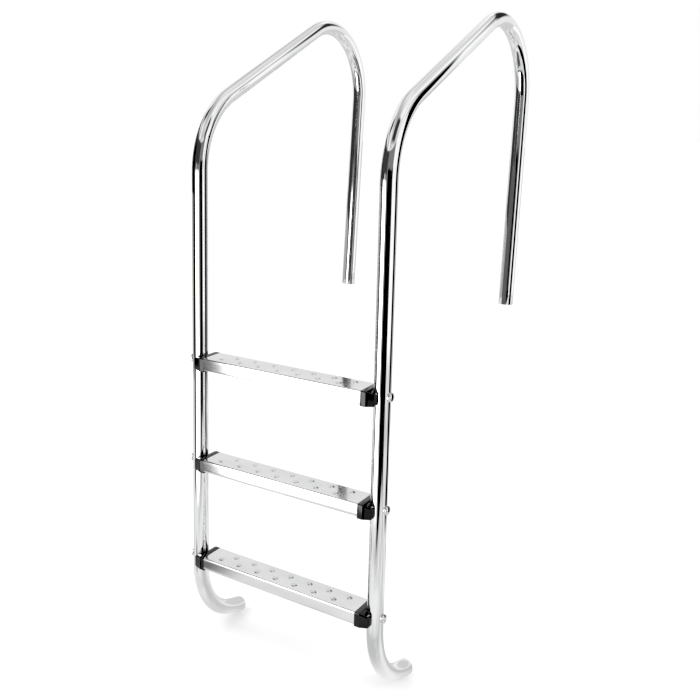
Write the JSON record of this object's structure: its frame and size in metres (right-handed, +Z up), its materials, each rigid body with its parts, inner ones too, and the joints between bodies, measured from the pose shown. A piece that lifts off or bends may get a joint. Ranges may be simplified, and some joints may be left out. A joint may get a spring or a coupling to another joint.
{
  "type": "pool ladder",
  "caption": "In-ground pool ladder: mirror-polished bent tube rails with looped handrails and hooked feet, dimpled pressed steel treads bolted on through black moulded end caps.",
  "frame": {"origin": "midway between the centres of the two deck-leg ends", "axes": "+X across the ladder, to the right of someone facing it from the pool; +Y from the pool towards the deck; +Z up"},
  "size_m": [0.619, 0.9297, 1.7963],
  "materials": {
    "rail": "mirror-polished stainless steel",
    "tread": "satin pressed stainless steel",
    "cap": "glossy black moulded plastic",
    "fastener": "polished stainless steel",
    "foot_plug": "matte black rubber"
  },
  "bodies": {
    "root": {"rail_left": "rail", "foot_plug_left": "foot_plug", "rail_right": "rail", "foot_plug_right": "foot_plug", "tread_top": "tread", "tread_cap_top_left": "cap", "bolt_top_left": "fastener", "saddle_washer_top_left": "fastener", "nut_top_left": "fastener", "tread_cap_top_right": "cap", "bolt_top_right": "fastener", "saddle_washer_top_right": "fastener", "nut_top_right": "fastener", "tread_middle": "tread", "tread_cap_middle_left": "cap", "bolt_middle_left": "fastener", "saddle_washer_middle_left": "fastener", "nut_middle_left": "fastener", "tread_cap_middle_right": "cap", "bolt_middle_right": "fastener", "saddle_washer_middle_right": "fastener", "nut_middle_right": "fastener", "tread_bottom": "tread", "tread_cap_bottom_left": "cap", "bolt_bottom_left": "fastener", "saddle_washer_bottom_left": "fastener", "nut_bottom_left": "fastener", "tread_cap_bottom_right": "cap", "bolt_bottom_right": "fastener", "saddle_washer_bottom_right": "fastener", "nut_bottom_right": "fastener"}
  },
  "joints": []
}
